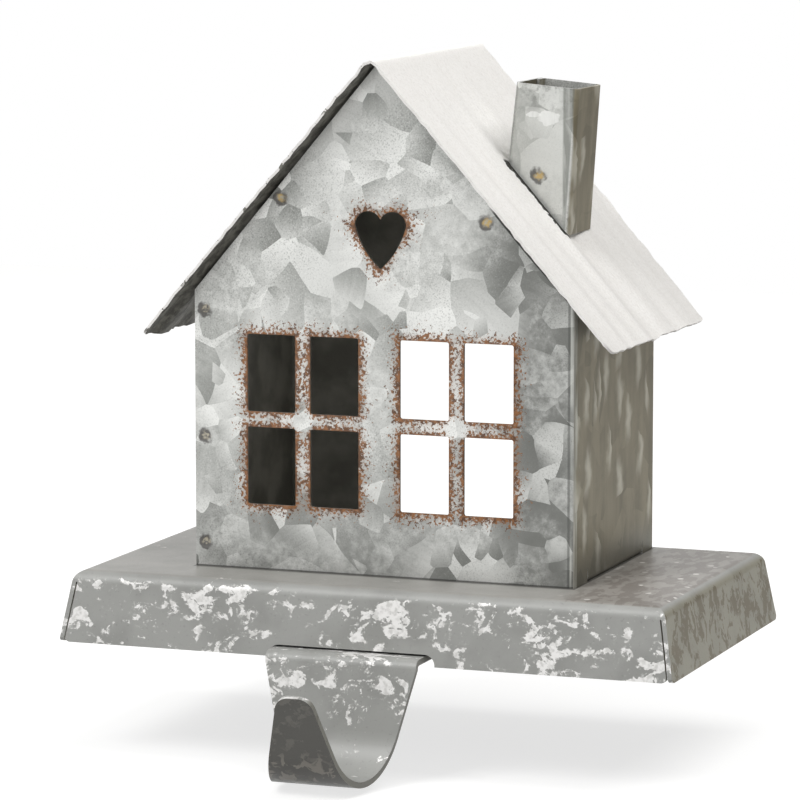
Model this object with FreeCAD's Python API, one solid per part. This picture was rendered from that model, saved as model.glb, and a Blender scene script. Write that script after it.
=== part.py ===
import FreeCAD, Part
import math
import os

# Mantel stocking holder: a sheet metal cottage on a weighted base, with a strap hook in front.
# Millimetres and degrees. X is the width, the front faces -Y, and Z is up.
# The origin is the middle of the base's footprint, on the shelf that the base pad rests on.

# Base pan: one sheet folded down on four sides, open underneath
base_width = 150.0        # outside, at the lower edge
base_depth = 86.4         # outside, at the lower edge
base_height = 16.6        # outside, lower edge to top face
base_sheet = 1.0
base_flare = 2.87         # how far each flange leans out over its height
base_bend = 3.2           # outer radius of the fold
corner_gap = 0.35         # open seam between neighbouring flanges
corner_round = 1.6        # clipped lower corners of the flanges
base_lift = 0.4           # the pad keeps the sheet edge this far off the shelf

# Weight and pad under the pan
weight_height = 13.4
weight_margin = 1.0       # from the weight's side to the start of the folds
weight_corner = 5.0
pad_margin = 1.5          # the pad is this much smaller than the weight all round
pad_slot_margin = 1.4     # slot in the pad, round the hook's tail

# Hook: one tapered strap, bent down over the shelf's edge and up into a J
hook_sheet = 1.4
hook_width = 36.8         # at the fold
hook_tip_width = 7.8
hook_offset = -2.5        # hook centre from the middle of the base
hook_reach = 4.8          # strap's front face ahead of the base's lower front edge
hook_fold = 2.2           # outer radius of the upper fold
hook_lean = 9.2           # the strap slopes forward as it goes down
hook_straight = 16.8      # straight run from the fold's corner to the J
hook_radius = 10.8        # inside of the J
tongue_length = 15.3      # straight run up to the tip
tongue_lean = 19.0
tongue_corner = 3.7       # rounding of the tip's two corners
curl_stations = 9         # sections that shape the J's narrowing curl
hook_tail = 33.0          # flat run from the fold's corner back under the base
hook_tail_corner = 3.0
notch_rise = 0.5          # gap over the strap in the front flange
notch_side = 2.0          # gap beside the strap
notch_shift = 0.6         # the strap isn't quite in the notch's middle
notch_round = 2.6

# Fasteners: pan head screws with a cross slot
screw_radius = 1.5
screw_clearance = 0.2     # round the shank, in sheet
screw_fit = 0.05          # round the shank, in the weight
screw_reach = 8.0         # shank inside the weight
screw_bore_spare = 1.0    # bore past the shank's end
screw_slot_width = 0.6
screw_slot_length = 3.2
screw_slot_share = 0.55   # slot depth over head height
screw_shoulder = 0.5      # height of the head's straight edge over the head's height
screw_crown_share = 0.68  # radius of the flat crown over the head's radius
house_head_radius = 2.8
house_head_height = 1.6
hook_head_radius = 2.9
hook_head_height = 0.75
hook_screw_pitch = 14.0
hook_screw_inset = 8.0    # first screw from the tail's end
house_screw_pitch = 30.0

# House: one sheet wrapped round four walls and lapped behind the front wall
house_width = 93.8
house_depth = 61.2
house_sheet = 0.6
house_bend = 1.3          # mid-line radius of the corner folds
house_offset = -1.2       # house centre from the middle of the base
house_setback = 19.3      # front wall behind the base's lower front edge
wall_height = 64.9        # side walls, from the base's top face
lap_width = 9.0
lap_gap = 0.1
lap_weld_radius = 1.1
lap_weld_inset = 2.6      # from the front wall's left edge
lap_weld_heights = [5.85, 31.1, 60.8]
spot_radius = 1.6         # dimple that a spot weld leaves
spot_depth = 0.18
foot_tab_length = 42.0    # tabs folded in at the foot of the side walls
foot_tab_width = 9.5
foot_tab_rise = 3.0       # height of the wall that the tab's fold takes up
foot_tab_relief = 0.4
foot_tab_clearing = 1.8   # how far the relief for a tab reaches each side of the wall's face
foot_tab_bend = 0.9       # mid-line radius
house_screw_inset = 5.2   # from the wall's outside

# Openings in the walls, measured from the middle of the front wall and the base's top face
pane_width = 12.0
pane_height = 18.25
pane_corner = 0.5
bar_width = 3.7
bar_height = 3.6
window_spacing = 37.95
window_offset = -0.9
sill_height = 15.4
heart_width = 12.7
heart_height = 13.4
heart_cleft = 1.85        # the cleft's depth below the lobes' tops
heart_lobe = 3.43         # a lobe's top from the middle
heart_shoulder = 10.2     # the widest level above the tip
heart_flank = (4.57, 5.6)   # a point on each flank, from the middle and above the tip
heart_tip_height = 71.7
heart_offset = -0.6
door_width = 40.0         # in the back wall, where a light goes in
door_height = 49.0
door_sill = 3.0
door_corner = 2.0

# Roof: one corrugated sheet with two bends along the ridge
roof_slope = 49.2
roof_tip = 0.5            # the roof and both gables lean to the left by this many degrees
ridge_offset = -1.0       # ridge from the middle of the house
ridge_flat = 1.6          # strip between the two bends
roof_sheet = 0.7
roof_gap = 0.1            # from the wall's top edge to the lowest wave
eave_overhangs = [9.84, 10.74]   # right and left
front_overhang = 6.5
back_overhang = 8.2
wave_count = 5
wave_height = 0.7         # valley to crest
eave_corners = [3.2, 1.0]   # right and left

# Clips spot welded inside the gables and the chimney
clip_sheet = 0.6
clip_bend = 0.9           # mid-line radius
clip_length = 10.0
clip_leg = 7.5            # the leg on the wall
clip_foot = 6.0           # the leg on the roof
clip_gap = 0.05
clip_run = 42.3           # from the ridge, down the slope to the clip's middle
gable_spots = [(-25.1, 87.5), (25.4, 83.5)]   # across and up, seen on the front wall

# Chimney: one sheet folded into a tube, leaning a little, cut to the roof's slope
chimney_sheet = 0.6
chimney_foot_width = 16.5
chimney_top_width = 15.4
chimney_skirt = 18.0      # extra length that the roof's slope cuts away
chimney_depth = 18.2
chimney_bend = 1.3        # mid-line radius
chimney_rise = 26.0       # along its axis, from the roof to the top
chimney_lean = 5.1
chimney_across = 30.3     # foot centre from the ridge, level
chimney_setback = 23.9    # chimney's front behind the house's front wall
chimney_lap = 4.0
chimney_gap = 0.1
chimney_spot_height = 5.0
chimney_clip_length = 8.0

# Shared levels and places, worked out from the sizes above
top_z = base_lift + base_height
weight_top = top_z - base_sheet
weight_bottom = weight_top - weight_height
flare_angle = math.atan2(base_flare, base_height)
fold_setback = base_bend * math.tan((math.pi / 2 - flare_angle) / 2)
flat_half_width = base_width / 2 - base_flare - fold_setback
flat_half_depth = base_depth / 2 - base_flare - fold_setback
flange_foot_y = -base_depth / 2
house_front = flange_foot_y + house_setback
house_back = house_front + house_depth
ridge_x = house_offset + ridge_offset
right_slope = math.radians(roof_slope - roof_tip)
left_slope = math.radians(roof_slope + roof_tip)
wall_peak = top_z + wall_height + (house_width / 2 - ridge_offset) * math.tan(right_slope)
wave_reach = (wave_height + roof_sheet) / 2
ridge_z = wall_peak + (wave_reach + roof_gap) / math.cos(math.radians(roof_slope))
ridge_drop = ridge_flat / 2 * math.tan(math.radians(roof_slope))   # strip below where the slopes meet
gable_top = ridge_z - ridge_drop - wave_reach - roof_gap
roof_front = house_front - front_overhang
roof_back = house_back + back_overhang
roof_depth = roof_back - roof_front
strap_top = weight_bottom
strap_face_y = flange_foot_y - hook_reach
lean = math.radians(hook_lean)
tongue_tilt = math.radians(tongue_lean)
hook_run = hook_straight + hook_radius * (math.pi - lean - tongue_tilt) + tongue_length
far = 400.0               # larger than the whole object, for cutting shapes
wall_cut = 1.5            # how far a cutter reaches each side of a wall's middle
skim = 1.0                # how far a cutter starts outside the face that it cuts


def vec(x, y, z=0.0):
    return FreeCAD.Vector(x, y, z)


def line(a, b):
    return Part.makeLine(a, b)


def arc(a, middle, b):
    return Part.Arc(a, middle, b).toShape()


def block(x0, x1, y0, y1, z0, z1):
    return Part.makeBox(x1 - x0, y1 - y0, z1 - z0, vec(x0, y0, z0))


def front_on(shape):
    # what is drawn in XY stands up in XZ
    return shape.rotated(vec(0, 0), vec(1, 0), 90)


def side_on(shape):
    # what is drawn in XY stands up in YZ
    return shape.rotated(vec(0, 0), vec(1, 1, 1), 120)


def quarter_turn(shape):
    return shape.rotated(vec(0, 0), vec(0, 0, 1), 90)


def rounded_outline(corners, radii):
    # closed outline through the corner points, each rounded by its own radius
    roundings = []
    for i, corner in enumerate(corners):
        before = (corners[i - 1] - corner).normalize()
        after = (corners[(i + 1) % len(corners)] - corner).normalize()
        half = before.getAngle(after) / 2
        cut = radii[i] / math.tan(half)
        bisector = (before + after).normalize()
        middle = corner + bisector * (radii[i] / math.sin(half) - radii[i])
        roundings.append((corner + before * cut, middle, corner + after * cut))
    edges = []
    for i, (start, middle, end) in enumerate(roundings):
        if radii[i] > 0:
            edges.append(arc(start, middle, end))
        edges.append(line(end, roundings[(i + 1) % len(corners)][0]))
    return Part.Face(Part.Wire(edges))


def rounded_rectangle(x0, x1, y0, y1, radius):
    corners = [vec(x0, y0), vec(x1, y0), vec(x1, y1), vec(x0, y1)]
    return rounded_outline(corners, [radius] * 4)


def folded_strip(corners, bend, sheet):
    # section of a sheet folded at the inner points; the points lie on its mid-line
    directions = [(b - a).normalize() for a, b in zip(corners, corners[1:])]
    skins = []
    for shift in (sheet / 2, -sheet / 2):
        offsets = [vec(-d.y, d.x) * shift for d in directions]
        first = corners[0] + offsets[0]
        last = corners[-1] + offsets[-1]
        position = first
        edges = []
        for i, corner in enumerate(corners[1:-1]):
            half = directions[i].getAngle(directions[i + 1]) / 2
            setback = bend * math.tan(half)
            start = corner - directions[i] * setback + offsets[i]
            end = corner + directions[i + 1] * setback + offsets[i + 1]
            inward = (directions[i + 1] - directions[i]).normalize()
            centre = corner + inward * (bend / math.cos(half))
            radius = bend - math.copysign(sheet / 2, offsets[i].dot(inward))
            edges.append(line(position, start))
            edges.append(arc(start, centre - inward * radius, end))
            position = end
        edges.append(line(position, last))
        skins.append((edges, first, last))
    (left, left_first, left_last), (right, right_first, right_last) = skins
    caps = [line(left_last, right_last), line(right_first, left_first)]
    return Part.Face(Part.Wire(left + caps[:1] + right[::-1] + caps[1:]))


def dimple(point, outward):
    # shallow dish that a spot weld leaves, to be cut from the face at the point
    ball = (spot_radius ** 2 + spot_depth ** 2) / (2 * spot_depth)
    return Part.makeSphere(ball, point + outward * (ball - spot_depth))


def pan_screw(head_radius, head_height, shank):
    # head upward, with its flat side at z = 0
    points = [
        vec(0, 0, -shank),
        vec(screw_radius, 0, -shank),
        vec(screw_radius, 0, 0),
        vec(head_radius, 0, 0),
        vec(head_radius, 0, head_height * screw_shoulder),
        vec(head_radius * screw_crown_share, 0, head_height),
        vec(0, 0, head_height),
    ]
    profile = Part.Face(Part.makePolygon(points + points[:1]))
    shape = profile.revolve(vec(0, 0), vec(0, 0, 1), 360)
    reach = screw_slot_length / 2
    half = screw_slot_width / 2
    floor = head_height * (1 - screw_slot_share)
    slot = block(-reach, reach, -half, half, floor, head_height + skim)
    return shape.cut(slot).cut(quarter_turn(slot))


def on_slope(shape, side):
    # from flat, with x down the slope, y along the ridge and z out of the roof; side is 1 for the right
    turned = shape.rotated(vec(0, 0), vec(0, 1), roof_slope)
    if side < 0:
        turned = turned.mirror(vec(0, 0), vec(1, 0))
    return turned.rotated(vec(0, 0), vec(0, 1), -roof_tip).translated(vec(ridge_x, 0, ridge_z))


def flange_x(half, inset, z):
    # distance from the middle to a flange's face, set in from its outside
    return half - inset / math.cos(flare_angle) - (z - base_lift) * base_flare / base_height


def pan_prism(half, inset, bottom):
    top = top_z - inset
    corners = []
    for side, z in ((-1, bottom), (1, bottom), (1, top), (-1, top)):
        corners.append(vec(side * flange_x(half, inset, z), z))
    bend = base_bend - inset
    face = front_on(rounded_outline(corners, [0, 0, bend, bend]))
    return face.extrude(vec(0, 2 * far)).translated(vec(0, -far))


def pan_skin(inset, bottom):
    across = pan_prism(base_width / 2, inset, bottom)
    along = pan_prism(base_depth / 2, inset, bottom)
    return across.common(quarter_turn(along))


def lower_corner(x, side):
    # what the rounding of a flange's lower corner takes away, as a bar along Y
    z = base_lift
    points = [vec(x - side * corner_round, z), vec(x, z), vec(x, z + corner_round)]
    centre = vec(x - side * corner_round, z + corner_round)
    middle = centre + vec(side, -1).normalize() * corner_round
    edges = [line(points[0], points[1]), line(points[1], points[2]), arc(points[2], middle, points[0])]
    face = front_on(Part.Face(Part.Wire(edges)))
    return face.extrude(vec(0, 2 * far)).translated(vec(0, -far))


def make_base_pan():
    pan = pan_skin(0, base_lift).cut(pan_skin(base_sheet, base_lift - skim))
    # open seams: the front and back flanges stop short of the side flanges
    seam_top = top_z - fold_setback * math.cos(flare_angle)
    seam = pan_prism(base_width / 2, base_sheet, base_lift - skim)
    seam = seam.cut(pan_prism(base_width / 2, base_sheet + corner_gap, base_lift - 2 * skim))
    pan = pan.cut(seam.common(block(-far, far, -far, far, -far, seam_top)))
    side_flanges = pan_prism(base_width / 2, 0, base_lift - skim)
    side_flanges = side_flanges.cut(pan_prism(base_width / 2, base_sheet, base_lift - 2 * skim))
    end_x = flange_x(base_width / 2, base_sheet + corner_gap / 2, base_lift)
    for side in (1, -1):
        pan = pan.cut(lower_corner(side * end_x, side))
        pan = pan.cut(quarter_turn(lower_corner(side * base_depth / 2, side)).common(side_flanges))
    # notch that the hook comes out through
    notch_half = hook_width / 2 + notch_side
    middle = hook_offset + notch_shift
    notch_top = strap_top + notch_rise
    left, right = middle - notch_half, middle + notch_half
    corners = [vec(left, -far), vec(right, -far), vec(right, notch_top), vec(left, notch_top)]
    notch = front_on(rounded_outline(corners, [0, 0, notch_round, notch_round]))
    pan = pan.cut(notch.extrude(vec(0, -far)))
    for x, y in house_screw_places():
        pan = pan.cut(Part.makeCylinder(screw_radius + screw_clearance, far, vec(x, y, 0)))
    return pan


def house_screw_places():
    places = []
    middle = (house_front + house_back) / 2
    for side in (1, -1):
        x = house_offset + side * (house_width / 2 - house_screw_inset)
        for step in (-0.5, 0.5):
            places.append((x, middle + step * house_screw_pitch))
    return places


def hook_screw_places():
    first = strap_face_y + hook_tail - hook_screw_inset
    return [(hook_offset, first), (hook_offset, first - hook_screw_pitch)]


def make_base_weight():
    half_x = flat_half_width - weight_margin
    half_y = flat_half_depth - weight_margin
    face = rounded_rectangle(-half_x, half_x, -half_y, half_y, weight_corner)
    weight = face.extrude(vec(0, 0, weight_height)).translated(vec(0, 0, weight_bottom))
    bore = screw_radius + screw_fit
    depth = screw_reach + screw_bore_spare
    for x, y in house_screw_places():
        weight = weight.cut(Part.makeCylinder(bore, depth, vec(x, y, weight_top - depth)))
    for x, y in hook_screw_places():
        weight = weight.cut(Part.makeCylinder(bore, depth, vec(x, y, weight_bottom)))
    return weight


def make_base_pad():
    half_x = flat_half_width - weight_margin - pad_margin
    half_y = flat_half_depth - weight_margin - pad_margin
    radius = weight_corner - pad_margin
    pad = rounded_rectangle(-half_x, half_x, -half_y, half_y, radius).extrude(vec(0, 0, weight_bottom))
    slot_half = hook_width / 2 + pad_slot_margin
    slot_end = strap_face_y + hook_tail + pad_slot_margin
    radius = hook_tail_corner + pad_slot_margin
    left, right = hook_offset - slot_half, hook_offset + slot_half
    corners = [vec(left, -far), vec(right, -far), vec(right, slot_end), vec(left, slot_end)]
    slot = rounded_outline(corners, [0, 0, radius, radius])
    return pad.cut(slot.extrude(vec(0, 0, far)))


def strap_half_width(run):
    # the strap narrows evenly from its fold to its tip
    share = (run - hook_fold) / (hook_run - hook_fold)
    return (hook_width + (hook_tip_width - hook_width) * share) / 2


def strap_panel(start, direction, outward, run_a, run_b, tip_radius):
    # flat stretch of the strap between two runs; start is where run_a lies on its inner face
    half_a = strap_half_width(run_a)
    half_b = strap_half_width(run_b)
    length = run_b - run_a
    corners = [vec(-half_a, 0), vec(half_a, 0), vec(half_b, length), vec(-half_b, length)]
    panel = rounded_outline(corners, [0, 0, tip_radius, tip_radius]).extrude(vec(0, 0, hook_sheet))
    turn = FreeCAD.Rotation(vec(1, 0), direction, outward, "XYZ")
    panel.Placement = FreeCAD.Placement(start, turn)
    return panel


def make_hook():
    corner = vec(0, strap_face_y, strap_top)
    down = vec(0, -math.sin(lean), -math.cos(lean))
    back = vec(0, math.cos(lean), -math.sin(lean))
    # tail under the base and the fold down over the shelf's edge
    half_turn = (math.pi / 2 - lean) / 2
    inward = vec(1 - math.sin(lean), -math.cos(lean)).normalize()
    fold = vec(strap_face_y, strap_top) + inward * (hook_sheet / 2 / math.cos(half_turn))
    tail_end = vec(strap_face_y + hook_tail, fold.y)
    fold_end = fold + vec(down.y, down.z) * (hook_fold - hook_sheet / 2 * math.tan(half_turn))
    section = folded_strip([tail_end, fold, fold_end], hook_fold - hook_sheet / 2, hook_sheet)
    strap = side_on(section).extrude(vec(hook_width, 0)).translated(vec(-hook_width / 2, 0))
    outline_end = strap_face_y + hook_tail
    corners = []
    for x, y in ((-1, -far), (1, -far), (1, outline_end), (-1, outline_end)):
        corners.append(vec(x * hook_width / 2, y))
    outline = rounded_outline(corners, [0, 0, hook_tail_corner, hook_tail_corner])
    strap = strap.common(outline.extrude(vec(0, 0, 2 * far)).translated(vec(0, 0, -far)))
    strap = strap.fuse(strap_panel(corner + down * hook_fold, down, back, hook_fold, hook_straight, 0))
    # the J
    centre = corner + down * hook_straight - back * hook_radius
    turn = math.pi - lean - tongue_tilt
    sections = []
    for i in range(curl_stations + 1):
        share = i / curl_stations
        angle = -lean - turn * share
        spoke = vec(0, math.cos(angle), math.sin(angle))
        half = strap_half_width(hook_straight + hook_radius * turn * share)
        inner = centre + spoke * hook_radius
        outer = centre + spoke * (hook_radius + hook_sheet)
        side = vec(half, 0)
        loop = [inner - side, inner + side, outer + side, outer - side, inner - side]
        sections.append(Part.makePolygon(loop))
    strap = strap.fuse(Part.makeLoft(sections, True, False))
    # the tongue
    rise = vec(0, -math.sin(tongue_tilt), math.cos(tongue_tilt))
    forward = vec(0, -math.cos(tongue_tilt), -math.sin(tongue_tilt))
    start = centre + forward * hook_radius
    tongue_foot = hook_run - tongue_length
    tongue = strap_panel(start, rise, forward, tongue_foot, hook_run, tongue_corner)
    strap = strap.fuse(tongue).removeSplitter().translated(vec(hook_offset, 0))
    for x, y in hook_screw_places():
        strap = strap.cut(Part.makeCylinder(screw_radius + screw_clearance, far, vec(x, y, 0)))
    return strap


def make_house_screws():
    shank = screw_reach + base_sheet + house_sheet
    screws = []
    for x, y in house_screw_places():
        screw = pan_screw(house_head_radius, house_head_height, shank)
        screws.append(screw.translated(vec(x, y, top_z + house_sheet)))
    return Part.Compound(screws)


def make_hook_screws():
    screws = []
    for x, y in hook_screw_places():
        screw = pan_screw(hook_head_radius, hook_head_height, screw_reach + hook_sheet)
        screw = screw.rotated(vec(0, 0), vec(1, 0), 180)
        screws.append(screw.translated(vec(x, y, strap_top - hook_sheet)))
    return Part.Compound(screws)


def heart_face():
    # the tip is at the origin
    tip = vec(0, 0)
    cleft = vec(0, heart_height - heart_cleft)
    flank_x, flank_z = heart_flank
    edges = []
    for side in (1, -1):
        lobe = vec(side * heart_lobe, heart_height)
        shoulder = vec(side * heart_width / 2, heart_shoulder)
        flank = vec(side * flank_x, flank_z)
        half_edges = [arc(cleft, lobe, shoulder), arc(shoulder, flank, tip)]
        edges += half_edges if side > 0 else half_edges[::-1]
    return Part.Face(Part.Wire(edges))


def through_wall(face, wall_y):
    return front_on(face).extrude(vec(0, 2 * wall_cut)).translated(vec(0, wall_y - wall_cut))


def window_cuts():
    cuts = []
    for window in (-0.5, 0.5):
        centre = house_offset + window_offset + window * window_spacing
        for column in (-1, 1):
            x = centre + column * (bar_width + pane_width) / 2 - pane_width / 2
            for row in (0, 1):
                z = top_z + sill_height + row * (pane_height + bar_height)
                pane = rounded_rectangle(x, x + pane_width, z, z + pane_height, pane_corner)
                cuts.append(through_wall(pane, house_front + house_sheet / 2))
    return cuts


def foot_tab(side):
    # tab folded in at the foot of a side wall; side is 1 for the right
    wall_x = house_offset + side * (house_width - house_sheet) / 2
    floor_z = top_z + house_sheet / 2
    corners = [
        vec(wall_x, top_z + foot_tab_rise),
        vec(wall_x, floor_z),
        vec(wall_x - side * foot_tab_width, floor_z),
    ]
    tab = front_on(folded_strip(corners, foot_tab_bend, house_sheet)).extrude(vec(0, foot_tab_length))
    return tab.translated(vec(0, (house_front + house_back - foot_tab_length) / 2))


def make_house_walls():
    half = (house_width - house_sheet) / 2
    left, right = house_offset - half, house_offset + half
    front, back = house_front + house_sheet / 2, house_back - house_sheet / 2
    lap_y = front + house_sheet + lap_gap
    corners = [
        vec(house_offset - house_width / 2, front),
        vec(right, front),
        vec(right, back),
        vec(left, back),
        vec(left, lap_y),
        vec(left + lap_width, lap_y),
    ]
    walls = folded_strip(corners, house_bend, house_sheet).extrude(vec(0, 0, wall_peak))
    walls = walls.translated(vec(0, 0, top_z))
    # the roof's slopes cut all four walls to one gable outline
    left_foot = vec(ridge_x - wall_peak / math.tan(left_slope), 0)
    right_foot = vec(ridge_x + wall_peak / math.tan(right_slope), 0)
    left_top = vec(ridge_x - (wall_peak - gable_top) / math.tan(left_slope), gable_top)
    right_top = vec(ridge_x + (wall_peak - gable_top) / math.tan(right_slope), gable_top)
    gable = Part.makePolygon([left_foot, right_foot, right_top, left_top, left_foot])
    gable = front_on(Part.Face(gable)).extrude(vec(0, 2 * far)).translated(vec(0, -far))
    walls = walls.common(gable)
    for cut in window_cuts():
        walls = walls.cut(cut)
    heart = heart_face().translated(vec(house_offset + heart_offset, top_z + heart_tip_height))
    walls = walls.cut(through_wall(heart, front))
    door_x = house_offset - door_width / 2
    door_z = top_z + door_sill
    door = rounded_rectangle(door_x, door_x + door_width, door_z, door_z + door_height, door_corner)
    walls = walls.cut(through_wall(door, back))
    # spot welds hold the lap, and the gable clips leave two more marks
    marks = []
    for height in lap_weld_heights:
        x = house_offset - house_width / 2 + lap_weld_inset
        z = top_z + height
        nugget = Part.makeCylinder(lap_weld_radius, house_sheet + lap_gap, vec(x, front, z), vec(0, 1))
        walls = walls.fuse(nugget)
        marks.append((x, z))
    for across, height in gable_spots:
        marks.append((house_offset + across, top_z + height))
    for x, z in marks:
        walls = walls.cut(dimple(vec(x, house_front, z), vec(0, -1)))
    # tabs at the foot of the side walls, screwed down to the base
    room = foot_tab_length / 2 + foot_tab_relief
    middle = (house_front + house_back) / 2
    for side in (1, -1):
        wall_x = house_offset + side * house_width / 2
        relief = block(wall_x - foot_tab_clearing, wall_x + foot_tab_clearing,
                       middle - room, middle + room, top_z - skim, top_z + foot_tab_rise)
        walls = walls.cut(relief).fuse(foot_tab(side))
    for x, y in house_screw_places():
        hole = Part.makeCylinder(screw_radius + screw_clearance, foot_tab_rise, vec(x, y, top_z - skim))
        walls = walls.cut(hole)
    return walls.removeSplitter()


def wave_section():
    # the corrugated sheet's section across the roof, with a valley at each edge
    half_wave = roof_depth / wave_count / 2
    rise = wave_height / 2
    radius = (half_wave ** 2 / 4 + rise ** 2) / (2 * rise)
    spread = half_wave / 2 / radius
    lift = math.sqrt(1 - spread ** 2)
    skins = []
    edge_points = []
    for shift in (roof_sheet / 2, -roof_sheet / 2):
        edges = []
        starts = []
        for i in range(2 * wave_count + 1):
            side = 1 if i % 2 else -1
            centre = vec(roof_front + i * half_wave, side * (rise - radius))
            reach = radius + side * shift
            starts.append(centre + vec(-spread, side * lift) * reach)
            end = centre + vec(spread, side * lift) * reach
            edges.append(arc(starts[-1], centre + vec(0, side) * reach, end))
        skins.append(edges)
        edge_points.append((end, starts[0]))
    upper, lower = skins
    caps = [line(a, b) for a, b in zip(*edge_points)]
    return Part.Face(Part.Wire(upper + caps[:1] + lower[::-1] + caps[1:]))


def wave_sheet(start, end):
    return side_on(wave_section()).extrude(vec(end - start, 0)).translated(vec(start, 0))


def bend_plane(x, z, turn, side):
    # all that lies to one side of the plane that halves a bend's angle
    room = block(0, far, -far, far, -far, far) if side > 0 else block(-far, 0, -far, far, -far, far)
    return room.rotated(vec(0, 0), vec(0, 1), turn).translated(vec(x, 0, z))


def roof_half(side, slope, overhang, corner):
    # side is 1 for the right
    length = (house_width / 2 - side * ridge_offset + overhang) / math.cos(slope)
    start = -length / 2
    sheet = wave_sheet(start, length)
    corners = [
        vec(start, roof_front),
        vec(length, roof_front),
        vec(length, roof_back),
        vec(start, roof_back),
    ]
    outline = rounded_outline(corners, [0, corner, corner, 0])
    sheet = sheet.common(outline.extrude(vec(0, 0, 2 * far)).translated(vec(0, 0, -far)))
    bend_run = ridge_flat / 2 / math.cos(math.radians(roof_slope))
    return on_slope(sheet.common(bend_plane(bend_run, 0, -roof_slope / 2, 1)), side)


def roof_strip():
    strip = wave_sheet(-ridge_flat, ridge_flat).translated(vec(0, 0, -ridge_drop))
    strip = strip.common(block(-far, far, roof_front, roof_back, -far, far))
    strip = strip.common(bend_plane(ridge_flat / 2, -ridge_drop, roof_slope / 2, -1))
    strip = strip.common(bend_plane(-ridge_flat / 2, -ridge_drop, -roof_slope / 2, 1))
    return strip.rotated(vec(0, 0), vec(0, 1), -roof_tip).translated(vec(ridge_x, 0, ridge_z))


def make_roof():
    right = roof_half(1, right_slope, eave_overhangs[0], eave_corners[0])
    left = roof_half(-1, left_slope, eave_overhangs[1], eave_corners[1])
    return right.fuse(left).fuse(roof_strip()).removeSplitter()


def clip(seat_y, into, seat_z, away, run, length, foot, leg, side):
    # angle clip in the slope's flat frame: its leg against a wall at seat_y, its foot at seat_z
    half = clip_sheet / 2
    leg_y = seat_y + into * (clip_gap + half)
    foot_z = seat_z + away * (clip_gap + half)
    corners = [vec(leg_y, seat_z + away * leg), vec(leg_y, foot_z), vec(leg_y + into * foot, foot_z)]
    section = side_on(folded_strip(corners, clip_bend, clip_sheet))
    return on_slope(section.extrude(vec(length, 0)).translated(vec(run - length / 2, 0)), side)


def make_roof_clip(end, side):
    wall = house_front + house_sheet if end == "front" else house_back - house_sheet
    into = 1 if end == "front" else -1
    turn = 1 if side == "right" else -1
    return clip(wall, into, -wave_reach, -1, clip_run, clip_length, clip_foot, clip_leg, turn)


def chimney_section():
    half = (chimney_foot_width - chimney_sheet) / 2
    front = chimney_sheet / 2
    back = chimney_depth - chimney_sheet / 2
    tab_x = -half + chimney_sheet + lap_gap
    corners = [
        vec(-half, chimney_depth),
        vec(-half, front),
        vec(half, front),
        vec(half, back),
        vec(tab_x, back),
        vec(tab_x, back - chimney_lap),
    ]
    return folded_strip(corners, chimney_bend, chimney_sheet)


def make_chimney():
    # each half of a straight tube tips inward, so that the tube narrows to its top
    taper = math.degrees(math.atan((chimney_foot_width - chimney_top_width) / 2 / chimney_rise))
    straight = chimney_section().extrude(vec(0, 0, chimney_rise + 2 * chimney_skirt))
    straight = straight.translated(vec(0, 0, -chimney_skirt))
    halves = []
    for side in (1, -1):
        near, away = sorted([0, side * far])
        room = block(near, away, -far, far, -far, chimney_rise)
        halves.append(straight.rotated(vec(0, 0), vec(0, 1), -side * taper).common(room))
    tube = halves[0].fuse(halves[1]).removeSplitter()
    tube = tube.cut(dimple(vec(0, 0, chimney_spot_height), vec(0, -1)))
    seat = wave_reach + chimney_gap
    place = vec(
        ridge_x + chimney_across,
        house_front + chimney_setback,
        ridge_z - chimney_across * math.tan(right_slope) + seat / math.cos(right_slope),
    )
    tube = tube.rotated(vec(0, 0), vec(0, 1), chimney_lean).translated(place)
    return tube.common(on_slope(block(-far, far, -far, far, seat, far), 1))


def make_chimney_clip(end):
    outside = house_front + chimney_setback
    wall = outside + chimney_sheet if end == "front" else outside + chimney_depth - chimney_sheet
    into = 1 if end == "front" else -1
    run = chimney_across / math.cos(right_slope) - chimney_spot_height * math.sin(right_slope)
    return clip(wall, into, wave_reach, 1, run, chimney_clip_length, clip_foot, clip_leg, 1)


nodes = {
    "base_pan": make_base_pan(),
    "base_weight": make_base_weight(),
    "base_pad": make_base_pad(),
    "hook": make_hook(),
    "hook_screws": make_hook_screws(),
    "house_walls": make_house_walls(),
    "house_screws": make_house_screws(),
    "roof": make_roof(),
    "chimney": make_chimney(),
}
for end in ("front", "back"):
    nodes["chimney_clip_" + end] = make_chimney_clip(end)
    for side in ("left", "right"):
        nodes["roof_clip_" + end + "_" + side] = make_roof_clip(end, side)

os.makedirs("parts", exist_ok=True)
for name, shape in nodes.items():
    shape.exportStep("parts/" + name + ".step")
    box = shape.BoundBox
    print(name, "solids", len(shape.Solids), "valid", shape.isValid(), "mm3", round(shape.Volume, 1),
          "box", [round(v, 1) for v in (box.XMin, box.XMax, box.YMin, box.YMax, box.ZMin, box.ZMax)])
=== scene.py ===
import math

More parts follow.
